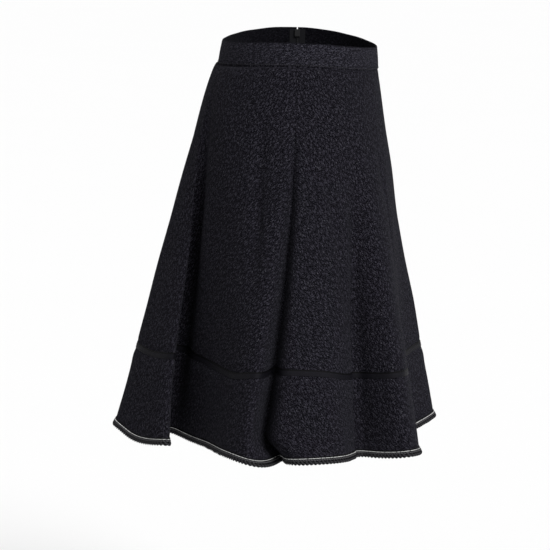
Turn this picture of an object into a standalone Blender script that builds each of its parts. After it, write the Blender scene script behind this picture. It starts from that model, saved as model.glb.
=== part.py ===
"""A-line skirt: a waistband, two flared panels that hang in folds, a ribbon above the hem and a
corded, braided hem edge. A concealed zip closes the seam on the wearer's left.

Metres, +Z up. The front faces -Y and the wearer's right is -X. The origin is the middle of the
waist at the top of the waistband, where the wearer's waist holds the skirt up.

The cloth is one closed surface of columns that run from the waist seam to the hem. Each column
starts on the waist oval and ends on a folded hem line, and its height comes from its own length,
because cloth bends but doesn't stretch: a column that swings out further hangs less low.
"""
import math
from collections import namedtuple

import bmesh
import bpy
import numpy as np

# ---- driving sizes, metres --------------------------------------------------------------------
WAIST_HALF_WIDTH = 0.125            # the wearer's left to the middle
WAIST_HALF_DEPTH = 0.104            # the front, or the back, to the middle
BAND_HEIGHT = 0.030
BAND_TOP_INSET_SIDE = 0.0005        # the band's top edge is this much narrower than its seam
BAND_TOP_INSET_FRONT = 0.0015
BAND_TOP_INSET_BACK = 0.0055
SIDE_RISE = 0.010                   # the waist edge is higher at the sides than in front
BACK_RISE = 0.008                   # and higher behind than in front
FRONT_DROP = 0.008                  # the front of the waist edge lies this far below the origin
SLANT_LENGTH = 0.492                # waist seam to hem edge along the cloth
HEM_HALF_WIDTH = 0.230              # the flare before it falls into folds
HEM_HALF_DEPTH_FRONT = 0.186
HEM_HALF_DEPTH_BACK = 0.216
HIP_SIDE = 0.006                    # how far the hip pushes the cloth out, most a quarter way down
HIP_BACK = 0.009
HIP_FRONT = -0.003                  # the front falls a little hollow
FOLD_SOFTNESS = 0.07                # share of the length over which a fold begins

CLOTH_THICKNESS = 0.0020
BAND_THICKNESS = 0.0024             # the same cloth, folded double and pressed
SEAM_GAP = 0.0003

RIBBON_TOP = 0.113                  # ribbon edges, measured up from the hem edge
RIBBON_BOTTOM = 0.105
RIBBON_THICKNESS = 0.0009
PIPING_TOP = 0.0084
PIPING_BOTTOM = 0.0072
PIPING_THICKNESS = 0.0011
BRAID_TOP = 0.0069
BRAID_THICKNESS = 0.0026
BRAID_SHOULDER = 0.0006             # how far the rounded edges of the braid are drawn in
BRAID_FOOT_HEIGHT = 0.0010
CLOTH_HEM = 0.0020                  # the cloth ends behind the braid, this far above its lower edge

ZIP_END_SHARE = 0.37                # the zip ends this far down the seam, as a share of its length
ZIP_TAPE_WIDTH = 0.0105
ZIP_TAPE_THICKNESS = 0.0007
ZIP_SLOT = 0.0015                   # open width between the two tapes and the two band ends
CHAIN_WIDTH = 0.0036
CHAIN_THICKNESS = 0.0013
SLIDER_WIDTH = 0.0070
SLIDER_HEIGHT = 0.0095
SLIDER_DEPTH = 0.0030
SLIDER_BELOW_EDGE = 0.0025          # slider's top under the waistband's top edge
WEB_THICKNESS = 0.0008
PIN_STAND_OFF = 0.0023              # the pull's pin in front of the band
PIN_RADIUS = 0.00045
PIN_HOLE_RADIUS = 0.00080
LUG_RADIUS = 0.0017
PULL_LENGTH = 0.0200                # pin to tip
PULL_THICKNESS = 0.0012
PULL_HEAD_WIDTH = 0.0042
PULL_WIDTH = 0.0070
PULL_HEAD_ABOVE_PIN = 0.0012
PIN_LENGTH = 0.0034
PULL_TIP_SWEEP = 105                # degrees to each side of straight down, on the drop's round tip

COLUMNS_PER_FOLD = 3
HEIGHT_STEPS = 240                  # steps for adding up a column's height
LEAST_DROP = 0.3                    # a column falls at least this share of its own length
WIDEST_MITRE = 0.5                  # cosine that limits a step out at a tight turn
SHARP_ANGLE = 50                    # degrees between facets that stay sharp
ROUND_SIDES = 12
LUG_CORNERS = 9

# A row for each turn of the hem line, from the middle of the front round by the wearer's right.
# Bearings are degrees from the front towards the wearer's right; reach is millimetres from the
# middle; start is the share of the length where the fold begins; longer is millimetres of cloth
# that hangs below the even length, because the flared parts of a panel drop on the bias.
Fold = namedtuple("Fold", "name hem_bearing hem_reach waist_bearing start longer")
FOLDS = [
    Fold("front_lobe", -22, 198, -17, 0.38, -4),
    Fold("front_turn", -10, 170, -5, 0.30, -6),
    Fold("front_hollow", 11, 147, 11, 0.25, -4),
    Fold("right_front_flank", 34, 183, 29, 0.25, 0),
    Fold("right_front_crest", 49, 233, 39, 0.22, 0),
    Fold("right_front_brow", 57, 244, 47, 0.22, 1),
    Fold("right_front_hollow", 66, 199, 57, 0.18, -2),
    Fold("before_seam_brow", 77, 244, 73, 0.20, 2),
    Fold("before_seam_crest", 88, 262, 85, 0.20, 6),
    Fold("before_seam_edge", 93, 240, 90, 0.18, 5),
    Fold("right_seam", 96, 206, 92, 0.16, 3),
    Fold("behind_seam_crest", 101, 258, 96, 0.20, 11),
    Fold("behind_seam_brow", 108, 256, 103, 0.20, 6),
    Fold("right_back_flank", 121, 206, 121, 0.20, 0),
    Fold("right_back_inner", 140, 171, 140, 0.15, 0),
    Fold("right_back_hollow", 162, 180, 152, 0.08, 0),
    Fold("right_back_under", 154, 192, 157, 0.10, 1),
    Fold("right_back_crest", 140, 221, 160, 0.28, 2),
    Fold("back_lobe_side", 158, 235, 166, 0.18, 3),
    Fold("back_lobe", 176, 237, 180, 0.22, 2),
    Fold("back_hollow", 200, 186, 196, 0.18, 0),
    Fold("left_back_crest", 216, 232, 210, 0.22, 0),
    Fold("left_back_brow", 228, 238, 219, 0.22, 0),
    Fold("left_back_hollow", 242, 178, 234, 0.26, 0),
    Fold("behind_zip", 255, 246, 251, 0.32, 2),
    Fold("left_seam", 270, 216, 270, 0.40, 2),
    Fold("before_zip", 283, 252, 287, 0.34, 2),
    Fold("left_front_hollow", 298, 186, 299, 0.20, 0),
    Fold("left_front_crest", 311, 236, 309, 0.24, 0),
    Fold("left_front_brow", 321, 220, 319, 0.24, 0),
    Fold("left_front_dip", 330, 170, 330, 0.28, -2),
]
RIGHT_SEAM = [fold.name for fold in FOLDS].index("right_seam") * COLUMNS_PER_FOLD
LEFT_SEAM = [fold.name for fold in FOLDS].index("left_seam") * COLUMNS_PER_FOLD
COLUMN_COUNT = len(FOLDS) * COLUMNS_PER_FOLD

# Shares of the length at which the panels have a row of points. The trims' edges are among them,
# so that what lies on the cloth follows its facets
RIBBON_TOP_SHARE = 1 - RIBBON_TOP / SLANT_LENGTH
RIBBON_BOTTOM_SHARE = 1 - RIBBON_BOTTOM / SLANT_LENGTH
PIPING_TOP_SHARE = 1 - PIPING_TOP / SLANT_LENGTH
CLOTH_HEM_SHARE = 1 - CLOTH_HEM / SLANT_LENGTH
PANEL_SHARES = [0, 0.06, 0.13, 0.20, 0.28, ZIP_END_SHARE, 0.46, 0.56, 0.67, RIBBON_TOP_SHARE,
                RIBBON_BOTTOM_SHARE, PIPING_TOP_SHARE, CLOTH_HEM_SHARE]

Finish = namedtuple("Finish", "color roughness metallic")
TWEED = Finish((0.016, 0.015, 0.020), 0.95, 0)
RIBBON = Finish((0.009, 0.009, 0.011), 0.60, 0)
OFF_WHITE = Finish((0.62, 0.58, 0.52), 0.80, 0)
BLACK_CORD = Finish((0.008, 0.008, 0.009), 0.75, 0)
BLACK_ENAMEL = Finish((0.012, 0.012, 0.013), 0.30, 1)


# ---- the cloth's surface ----------------------------------------------------------------------
def closed_curve(rows, samples):
    """A smooth closed curve through the rows, `samples` points from each row to the next."""
    rows = np.array(rows)
    count = len(rows)
    ahead = np.roll(rows, -1, axis=0) - rows
    gap = np.sqrt(np.hypot(ahead[:, 0], ahead[:, 1]))
    before = np.roll(gap, 1)
    system = np.zeros((count, count))
    for i in range(count):
        system[i, i - 1] = gap[i]
        system[i, i] = 2 * (before[i] + gap[i])
        system[i, (i + 1) % count] = before[i]
    pull = (gap / before)[:, None] * np.roll(ahead, 1, axis=0) + (before / gap)[:, None] * ahead
    slope = np.linalg.solve(system, 3 * pull)
    s = (np.arange(samples) / samples)[:, None]
    points = []
    for i in range(count):
        j = (i + 1) % count
        points.append((2 * s**3 - 3 * s**2 + 1) * rows[i] + (3 * s**2 - 2 * s**3) * rows[j]
                      + (s**3 - 2 * s**2 + s) * gap[i] * slope[i] + (s**3 - s**2) * gap[i] * slope[j])
    return np.concatenate(points)


def oval(bearing, half_width, half_depth):
    """Points on an oval seen from above, at bearings from the front towards the wearer's right."""
    return np.stack([-half_width * np.sin(bearing), -half_depth * np.cos(bearing)], axis=-1)


def back_or_front(bearing, back, front):
    """One value for bearings behind the sides and another for those before them."""
    return np.where(np.cos(bearing) < 0, back, front)


def seam_height(bearing):
    """Height of the waist seam: highest at the sides, and higher behind than in front."""
    rise = SIDE_RISE * np.sin(bearing)**2 + BACK_RISE * (1 - np.cos(bearing)) / 2
    return rise - FRONT_DROP - BAND_HEIGHT


def cloth_columns():
    """Each column's folded hem point, waist bearing, fold start and spare length."""
    rows = []
    for fold in FOLDS:
        hem = math.radians(fold.hem_bearing)
        waist = math.radians(fold.waist_bearing)
        reach = fold.hem_reach / 1000
        rows.append([-reach * math.sin(hem), -reach * math.cos(hem), math.cos(waist), math.sin(waist),
                     fold.start, fold.longer / 1000])
    curve = closed_curve(rows, COLUMNS_PER_FOLD)
    return curve[:, :2], np.arctan2(curve[:, 3], curve[:, 2]), curve[:, 4], curve[:, 5]


def cloth_plan(shares):
    """Where each column is, seen from above, at each share of its length."""
    hem, waist_bearing, start, _ = cloth_columns()
    waist = oval(waist_bearing, WAIST_HALF_WIDTH, WAIST_HALF_DEPTH)
    depth = back_or_front(waist_bearing, HEM_HALF_DEPTH_BACK, HEM_HALF_DEPTH_FRONT)
    flare = oval(waist_bearing, HEM_HALF_WIDTH, depth)
    share = shares[None, :]

    def ramp(x):
        return (np.sqrt(x * x + FOLD_SOFTNESS**2) + x) / 2

    first = (-start / (1 - start))[:, None]
    fold = (ramp((share - start[:, None]) / (1 - start[:, None])) - ramp(first)) / (ramp(1) - ramp(first))
    hip_turn = back_or_front(waist_bearing, HIP_BACK, HIP_FRONT) * np.abs(np.cos(waist_bearing))
    hip = (hip_turn + HIP_SIDE * np.abs(np.sin(waist_bearing)))[:, None] * np.sin(np.pi * np.sqrt(share))
    outward = unit(waist)
    return (waist[:, None] + (flare - waist)[:, None] * share[..., None]
            + (hem - flare)[:, None] * fold[..., None] + outward[:, None] * hip[..., None])


def cloth_points(shares):
    """The cloth's outer face: a grid of points, columns by shares of the length."""
    fine = np.linspace(0, 1, HEIGHT_STEPS + 1)
    _, waist_bearing, _, longer = cloth_columns()
    step = ((SLANT_LENGTH + longer) / HEIGHT_STEPS)[:, None]
    sideways = np.linalg.norm(np.diff(cloth_plan(fine), axis=1), axis=2)
    drop = np.sqrt(np.maximum(step**2 - sideways**2, (LEAST_DROP * step)**2))
    fallen = np.concatenate([np.zeros((COLUMN_COUNT, 1)), np.cumsum(drop, axis=1)], axis=1)
    shares = np.array(shares, dtype=float)
    height = np.stack([np.interp(shares, fine, column) for column in fallen])
    height = seam_height(waist_bearing)[:, None] - height
    return np.concatenate([cloth_plan(shares), height[..., None]], axis=2)


def outward_steps(points):
    """For each point, the step out of the cloth that takes both facets beside it one unit out."""
    ahead = np.roll(points, -1, axis=0) - points
    down = np.gradient(points, axis=1)
    facet = unit(np.cross(ahead, down + np.roll(down, -1, axis=0)))
    middle = unit(facet + np.roll(facet, 1, axis=0))
    return middle / np.maximum(np.sum(middle * facet, axis=2, keepdims=True), WIDEST_MITRE)


def unit(vectors):
    """Vectors of length one."""
    return vectors / np.linalg.norm(vectors, axis=-1, keepdims=True)


# ---- turning grids of points into solids ------------------------------------------------------
def add_object(name, vertices, faces, finish):
    """One closed mesh object; faces are turned outward."""
    mesh = bpy.data.meshes.new(name)
    mesh.from_pydata([tuple(map(float, v)) for v in vertices], [], faces)
    shape = bmesh.new()
    shape.from_mesh(mesh)
    bmesh.ops.recalc_face_normals(shape, faces=shape.faces)
    shape.to_mesh(mesh)
    shape.free()
    mesh.shade_smooth()
    mesh.set_sharp_from_angle(angle=math.radians(SHARP_ANGLE))
    piece = bpy.data.objects.new(name, mesh)
    bpy.context.scene.collection.objects.link(piece)
    piece.data.materials.append(material(name, finish))
    return piece


def material(name, finish):
    """A plain material in a finish's color."""
    made = bpy.data.materials.new(name)
    made.use_nodes = True
    shader = made.node_tree.nodes["Principled BSDF"]
    shader.inputs["Base Color"].default_value = (*finish.color, 1)
    shader.inputs["Roughness"].default_value = finish.roughness
    shader.inputs["Metallic"].default_value = finish.metallic
    return made


def two_triangles(a, b, c, d):
    """A quad's corners as two triangles, so that a bent one stays well defined."""
    return [(a, b, c), (a, c, d)]


def swept_solid(name, loops, closed, finish):
    """A solid through matching loops of points; closed joins the last loop to the first."""
    count, size = len(loops), len(loops[0])
    faces = []
    for i in range(count if closed else count - 1):
        here, there = i * size, (i + 1) % count * size
        for k in range(size):
            n = (k + 1) % size
            faces += two_triangles(here + k, here + n, there + n, there + k)
    if not closed:
        for first in (0, (count - 1) * size):
            half = size // 2
            for k in range(half - 1):
                faces += two_triangles(first + k, first + k + 1, first + size - 2 - k, first + size - 1 - k)
    return add_object(name, np.concatenate(loops), faces, finish)


def nudge(loop, towards, distance):
    """A loop of points moved along the cloth towards the next loop."""
    way = towards - loop
    return loop + unit(way) * distance


def stretch_of_columns(first, last):
    """Column numbers from first to last, on round past the middle of the front if need be."""
    return [c % COLUMN_COUNT for c in range(first, last + 1 + (COLUMN_COUNT if last < first else 0))]


def wall_loops(outer, inner, columns, end_gap):
    """Wall sections, down the outer face and up the inner, with half the end gap at each end."""
    loops = [np.concatenate([outer[c], inner[c][::-1]]) for c in columns]
    ends = nudge(loops[0], loops[1], end_gap / 2), nudge(loops[-1], loops[-2], end_gap / 2)
    loops[0], loops[-1] = ends
    return loops


def panel(name, first, last):
    """A flared panel as a folded wall, from one seam column to the other."""
    outer = cloth_points(PANEL_SHARES)
    inner = outer - outward_steps(outer) * CLOTH_THICKNESS
    loops = wall_loops(outer, inner, stretch_of_columns(first, last), SEAM_GAP)
    return swept_solid(name, loops, False, TWEED)


def waistband_faces():
    """The waistband's outer and inner face, each a grid of columns by top and bottom."""
    _, bearing, _, _ = cloth_columns()
    inset = (BAND_TOP_INSET_SIDE * np.sin(bearing)**2
             + back_or_front(bearing, BAND_TOP_INSET_BACK, BAND_TOP_INSET_FRONT) * np.cos(bearing)**2)
    seam = oval(bearing, WAIST_HALF_WIDTH, WAIST_HALF_DEPTH)
    outward = unit(seam)
    height = seam_height(bearing)[:, None]

    def face(depth):
        top = np.concatenate([seam - outward * (inset[:, None] + depth), height + BAND_HEIGHT], axis=1)
        bottom = np.concatenate([seam - outward * depth, height + SEAM_GAP], axis=1)
        return np.stack([top, bottom], axis=1)

    return face(0), face(BAND_THICKNESS)


def waistband():
    """The waistband: one strip round the waist, its two ends a slot apart over the zip."""
    outer, inner = waistband_faces()
    loops = wall_loops(outer, inner, stretch_of_columns(LEFT_SEAM, LEFT_SEAM - 1), 0)
    last = np.concatenate([outer[LEFT_SEAM], inner[LEFT_SEAM][::-1]])
    loops[0] = nudge(last, loops[1], ZIP_SLOT / 2)
    loops.append(nudge(last, loops[-1], ZIP_SLOT / 2))
    return swept_solid("waistband", loops, False, TWEED)


def ring_on_cloth(name, section, finish):
    """A closed strip on the cloth's outer face; section is (height above the hem, distance out)."""
    shares = sorted({1 - up / SLANT_LENGTH for up, _ in section})
    cloth = cloth_points(PANEL_SHARES)
    steps = outward_steps(cloth)
    on_cloth = cloth_points(shares)
    loops = []
    for column in range(COLUMN_COUNT):
        loop = []
        for up, out in section:
            share = 1 - up / SLANT_LENGTH
            way = np.array([np.interp(share, PANEL_SHARES, steps[column, :, axis]) for axis in range(3)])
            loop.append(on_cloth[column, shares.index(share)] + way * out)
        loops.append(np.array(loop))
    return swept_solid(name, loops, True, finish)


def trim_ribbon():
    """The flat ribbon above the hem, one closed ring."""
    near, far = SEAM_GAP, SEAM_GAP + RIBBON_THICKNESS
    section = [(RIBBON_TOP, near), (RIBBON_TOP, far), (RIBBON_BOTTOM, far), (RIBBON_BOTTOM, near)]
    return ring_on_cloth("trim_ribbon", section, RIBBON)


def hem_piping():
    """The off-white cord above the braid, one closed ring."""
    near, far = SEAM_GAP, SEAM_GAP + PIPING_THICKNESS
    section = [(PIPING_TOP, near), (PIPING_TOP, far), (PIPING_BOTTOM, far), (PIPING_BOTTOM, near)]
    return ring_on_cloth("hem_piping", section, OFF_WHITE)


def hem_braid():
    """The black braid on the hem edge: a bulging section, one closed ring."""
    near, far = SEAM_GAP, SEAM_GAP + BRAID_THICKNESS
    middle = (near + far) / 2
    section = [(BRAID_TOP, near), (BRAID_TOP - BRAID_SHOULDER, middle), (BRAID_TOP / 2, far),
               (BRAID_FOOT_HEIGHT, middle + BRAID_SHOULDER), (0, near + BRAID_SHOULDER),
               (BRAID_SHOULDER, near)]
    return ring_on_cloth("hem_braid", section, BLACK_CORD)


# ---- the zip ----------------------------------------------------------------------------------
def zip_line(depth):
    """Points down the inner side of the left seam, `depth` under the cloth's outer face.

    Each row has the seam column and the columns beside it, so that a tape can lie along them.
    """
    shares = [share for share in PANEL_SHARES if share <= ZIP_END_SHARE]
    cloth = cloth_points(PANEL_SHARES)
    cloth = (cloth - outward_steps(cloth) * depth)[:, 1:len(shares)]
    band_outer, band_inner = waistband_faces()
    extra = depth - CLOTH_THICKNESS
    band = band_inner - (band_outer - band_inner) / BAND_THICKNESS * extra
    top_and_bottom = band.copy()
    top_and_bottom[:, 0, 2] -= SLIDER_BELOW_EDGE
    top_and_bottom[:, 1, 2] -= SEAM_GAP
    line = np.concatenate([top_and_bottom, cloth], axis=1)
    return line[LEFT_SEAM - 1], line[LEFT_SEAM], line[LEFT_SEAM + 1]


def zip_tape(name, side):
    """One tape; side is 0 for the back panel's edge and 2 for the front panel's."""
    near = zip_line(CLOTH_THICKNESS + SEAM_GAP)
    far = zip_line(CLOTH_THICKNESS + SEAM_GAP + ZIP_TAPE_THICKNESS)
    loops = []
    for distance in (ZIP_SLOT / 2, ZIP_TAPE_WIDTH):
        loops.append(np.concatenate([nudge(near[1], near[side], distance),
                                     nudge(far[1], far[side], distance)[::-1]]))
    return swept_solid(name, loops, False, BLACK_CORD)


def zip_chain():
    """The closed teeth, one plain bar behind the tapes, from under the slider to the zip's end."""
    depth = CLOTH_THICKNESS + 2 * SEAM_GAP + ZIP_TAPE_THICKNESS
    near = zip_line(depth)[1].copy()
    far = zip_line(depth + CHAIN_THICKNESS)[1].copy()
    slider_foot = seam_top_height() - SLIDER_BELOW_EDGE - SLIDER_HEIGHT - SEAM_GAP
    near[0, 2] = slider_foot
    far[0, 2] = slider_foot
    loops = []
    for side in (-CHAIN_WIDTH / 2, CHAIN_WIDTH / 2):
        loops.append(np.concatenate([near, far[::-1]]) + np.array([0, side, 0]))
    return swept_solid("zip_chain", loops, False, BLACK_CORD)


def seam_top_height():
    """Height of the waistband's top edge over the left seam."""
    return float(seam_height(math.radians(270))) + BAND_HEIGHT


def pin_place():
    """The middle of the pull tab's pin, in front of the band's end."""
    height = seam_top_height() - SLIDER_BELOW_EDGE - SLIDER_HEIGHT / 2
    return (WAIST_HALF_WIDTH + PIN_STAND_OFF, 0, height)


def block(low, high):
    """Corner points and faces of a box between two corners."""
    corners = [(x, y, z) for x in (low[0], high[0]) for y in (low[1], high[1]) for z in (low[2], high[2])]
    faces = [(0, 1, 3, 2), (4, 6, 7, 5), (0, 4, 5, 1), (2, 3, 7, 6), (0, 2, 6, 4), (1, 5, 7, 3)]
    return corners, faces


def extruded(outline, low, high, upright):
    """Points and faces of an outline given a thickness; upright(u, v, w) places each point."""
    count = len(outline)
    points = [upright(u, v, w) for w in (low, high) for u, v in outline]
    faces = [tuple(range(count)), tuple(range(count, 2 * count))]
    faces += [(k, (k + 1) % count, count + (k + 1) % count, count + k) for k in range(count)]
    return points, faces


def circle(radius):
    """Corners of a round outline about the origin."""
    turns = [2 * math.pi * k / ROUND_SIDES for k in range(ROUND_SIDES)]
    return [(radius * math.cos(a), radius * math.sin(a)) for a in turns]


def cut_or_join(piece, name, shape, operation):
    """Cuts a shape out of a piece, or joins it on, with a hidden guide object."""
    guide = add_object(name, *shape, BLACK_ENAMEL)
    guide.hide_render = True
    guide.display_type = "WIRE"
    change = piece.modifiers.new(name, "BOOLEAN")
    change.operation = operation
    change.solver = "EXACT"
    change.object = guide


def zip_slider():
    """The slider's body behind the band, its web through the slot, and the lug that holds the pin."""
    pin_x, _, pin_z = pin_place()
    depth = BAND_THICKNESS + 2 * SEAM_GAP + ZIP_TAPE_THICKNESS
    front = WAIST_HALF_WIDTH - BAND_TOP_INSET_SIDE - depth
    body = block((front - SLIDER_DEPTH, -SLIDER_WIDTH / 2, pin_z - SLIDER_HEIGHT / 2),
                 (front, SLIDER_WIDTH / 2, pin_z + SLIDER_HEIGHT / 2))
    slider = add_object("zip_slider", *body, BLACK_ENAMEL)

    def sideways(u, v, w):
        return (pin_x + u, w, pin_z + v)

    root = front - pin_x - SLIDER_DEPTH / 2
    half_turn = np.linspace(0, math.pi, LUG_CORNERS)
    nose = [(LUG_RADIUS * math.sin(a), LUG_RADIUS * math.cos(a)) for a in half_turn]
    web = [(root, -LUG_RADIUS), (root, LUG_RADIUS)]
    lug = extruded(nose + web, -WEB_THICKNESS / 2, WEB_THICKNESS / 2, sideways)
    cut_or_join(slider, "guide_lug", lug, "UNION")
    hole = extruded(circle(PIN_HOLE_RADIUS), -WEB_THICKNESS, WEB_THICKNESS, sideways)
    cut_or_join(slider, "guide_pin_hole", hole, "DIFFERENCE")
    return slider


def zip_pull():
    """The pull tab: a flat drop with a forked head, and a pin across the fork, in the lug's hole."""
    pin_x, pin_y, pin_z = pin_place()
    drop_middle = PULL_LENGTH - PULL_WIDTH / 2
    sweep = np.radians(np.linspace(90 - PULL_TIP_SWEEP, 90 + PULL_TIP_SWEEP, ROUND_SIDES + 1))
    tip = [(PULL_WIDTH / 2 * math.cos(a), -drop_middle - PULL_WIDTH / 2 * math.sin(a)) for a in sweep]
    neck = PULL_HEAD_WIDTH / 2
    head = [(-neck, PULL_HEAD_ABOVE_PIN), (neck, PULL_HEAD_ABOVE_PIN)]
    plate = extruded(tip + head, -PULL_THICKNESS / 2, PULL_THICKNESS / 2, lambda u, v, w: (w, u, v))
    pull = add_object("zip_pull", *plate, BLACK_ENAMEL)
    fork = ZIP_SLOT / 2
    slot = block((-PULL_THICKNESS, -fork, -LUG_RADIUS - SEAM_GAP),
                 (PULL_THICKNESS, fork, 2 * PULL_HEAD_ABOVE_PIN))
    cut_or_join(pull, "guide_fork", slot, "DIFFERENCE")
    pin = extruded(circle(PIN_RADIUS), -PIN_LENGTH / 2, PIN_LENGTH / 2, lambda u, v, w: (u, w, v))
    cut_or_join(pull, "guide_pin", pin, "UNION")
    pull.location = (pin_x, pin_y, pin_z)
    for name in ("guide_fork", "guide_pin"):
        bpy.data.objects[name].parent = pull
    return pull


def build_skirt():
    """Empties the scene and makes every piece in the assembled frame."""
    for old in list(bpy.data.objects):
        bpy.data.objects.remove(old)
    waistband()
    panel("panel_front", LEFT_SEAM, RIGHT_SEAM)
    panel("panel_back", RIGHT_SEAM, LEFT_SEAM)
    trim_ribbon()
    hem_piping()
    hem_braid()
    zip_tape("zip_tape_back", 0)
    zip_tape("zip_tape_front", 2)
    zip_chain()
    zip_slider()
    zip_pull()


build_skirt()
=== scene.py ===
import math
from collections import namedtuple

import bmesh
import bpy
import numpy as np
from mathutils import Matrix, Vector


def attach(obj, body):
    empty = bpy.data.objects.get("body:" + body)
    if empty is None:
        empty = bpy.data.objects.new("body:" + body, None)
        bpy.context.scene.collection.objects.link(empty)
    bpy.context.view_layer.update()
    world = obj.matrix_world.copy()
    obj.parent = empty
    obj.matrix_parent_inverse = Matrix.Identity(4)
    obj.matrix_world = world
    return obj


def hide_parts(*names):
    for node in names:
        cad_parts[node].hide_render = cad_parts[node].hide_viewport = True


# The look of the a-line skirt: a black slubbed tweed with a folded waistband, a smooth ribbon above
# the hem, a hem edge of off-white cord and black twisted braid, and a closed zip in the seam on the
# wearer's left. Metres unless a line says otherwise, +Z up, front to -Y. Bearings run from the front
# round by the wearer's right, and shares of the length from the waist seam down to the hem.

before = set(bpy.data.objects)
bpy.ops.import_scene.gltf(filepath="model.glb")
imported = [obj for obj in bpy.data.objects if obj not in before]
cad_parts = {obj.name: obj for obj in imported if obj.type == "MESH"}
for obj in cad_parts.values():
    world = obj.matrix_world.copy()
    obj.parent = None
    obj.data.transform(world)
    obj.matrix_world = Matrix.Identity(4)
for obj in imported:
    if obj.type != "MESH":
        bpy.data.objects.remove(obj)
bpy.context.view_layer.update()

# ---- sizes of the cut and of the solids that carry these pieces --------------------------------
WAIST_GIRTH = 0.72
WAIST_HALF_WIDTH = 0.125
WAIST_HALF_DEPTH = 0.104
BAND_HEIGHT = 0.030
BAND_TUCK = 0.0018              # the panels' top edges go up into the waistband by this much
BAND_TOP_INSET_SIDE = 0.0005
BAND_TOP_INSET_FRONT = 0.0015
BAND_TOP_INSET_BACK = 0.0055
SIDE_RISE = 0.010
BACK_RISE = 0.008
FRONT_DROP = 0.008
SLANT_LENGTH = 0.492
HEM_HALF_WIDTH = 0.230
HEM_HALF_DEPTH_FRONT = 0.186
HEM_HALF_DEPTH_BACK = 0.216
HIP_SIDE = 0.006
HIP_BACK = 0.009
HIP_FRONT = -0.003
FOLD_SOFTNESS = 0.07
CLOTH_THICKNESS = 0.0020
BAND_THICKNESS = 0.0024
SEAM_GAP = 0.0003
RIBBON_TOP = 0.113
RIBBON_BOTTOM = 0.105
RIBBON_MIDDLE = (RIBBON_TOP + RIBBON_BOTTOM) / 2
RIBBON_THICKNESS = 0.0009
PIPING_TOP = 0.0084
PIPING_BOTTOM = 0.0072
BRAID_TOP = 0.0069
BRAID_THICKNESS = 0.0026
CLOTH_HEM = 0.0020
BRAID_CORD_TOP = 0.0045         # the braid's thick black cord ends here, and its grey strand begins
SHADOW_HEADING_TOP = 0.0093            # the black tape behind the cords; its strip above them is painted shadow over the off-white
HEADING_THICKNESS = 0.0005
HEADING_SPARE = 0.0006          # how far it goes on past each of its edges, for sewing
BRAID_CORD_SPARE = 0.0008       # how much taller the twisted cord is than its even band
STRAND_GAP = 0.0002             # left free above and below the grey strand, together
ZIP_END_SHARE = 0.37
ZIP_TAPE_THICKNESS = 0.0007
ZIP_SLOT = 0.0015
CHAIN_WIDTH = 0.0036
CHAIN_THICKNESS = 0.0013
SLIDER_HEIGHT = 0.0095
SLIDER_BELOW_EDGE = 0.0025

# A row for each turn of the hem line, from the middle of the front round by the wearer's right: its
# bearing in degrees and its reach in millimetres at the hem, its bearing at the waist, the share of
# the length where its fold begins, and the millimetres by which its cloth is longer than the rest.
Fold = namedtuple("Fold", "name hem_bearing hem_reach waist_bearing start longer")
FOLDS = [
    Fold("front_lobe", -22, 198, -17, 0.38, -4),
    Fold("front_turn", -10, 170, -5, 0.30, -6),
    Fold("front_hollow", 11, 147, 11, 0.25, -4),
    Fold("right_front_flank", 34, 183, 29, 0.25, 0),
    Fold("right_front_crest", 49, 233, 39, 0.22, 0),
    Fold("right_front_brow", 57, 244, 47, 0.22, 1),
    Fold("right_front_hollow", 66, 199, 57, 0.18, -2),
    Fold("before_seam_brow", 77, 244, 73, 0.20, 2),
    Fold("before_seam_crest", 88, 262, 85, 0.20, 6),
    Fold("before_seam_edge", 93, 240, 90, 0.18, 5),
    Fold("right_seam", 96, 206, 92, 0.16, 3),
    Fold("behind_seam_crest", 101, 258, 96, 0.20, 11),
    Fold("behind_seam_brow", 108, 256, 103, 0.20, 6),
    Fold("right_back_flank", 121, 206, 121, 0.20, 0),
    Fold("right_back_inner", 140, 171, 140, 0.15, 0),
    Fold("right_back_hollow", 162, 180, 152, 0.08, 0),
    Fold("right_back_under", 154, 192, 157, 0.10, 1),
    Fold("right_back_crest", 140, 221, 160, 0.28, 2),
    Fold("back_lobe_side", 158, 235, 166, 0.18, 3),
    Fold("back_lobe", 176, 237, 180, 0.22, 2),
    Fold("back_hollow", 200, 186, 196, 0.18, 0),
    Fold("left_back_crest", 216, 232, 210, 0.22, 0),
    Fold("left_back_brow", 228, 238, 219, 0.22, 0),
    Fold("left_back_hollow", 242, 178, 234, 0.26, 0),
    Fold("behind_zip", 255, 246, 251, 0.32, 2),
    Fold("left_seam", 270, 216, 270, 0.40, 2),
    Fold("before_zip", 283, 252, 287, 0.34, 2),
    Fold("left_front_hollow", 298, 186, 299, 0.20, 0),
    Fold("left_front_crest", 311, 236, 309, 0.24, 0),
    Fold("left_front_brow", 321, 220, 319, 0.24, 0),
    Fold("left_front_dip", 330, 170, 330, 0.28, -2),
]
FOLD_NAMES = [fold.name for fold in FOLDS]
RIGHT_SEAM = FOLD_NAMES.index("right_seam")
LEFT_SEAM = FOLD_NAMES.index("left_seam")

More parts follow.
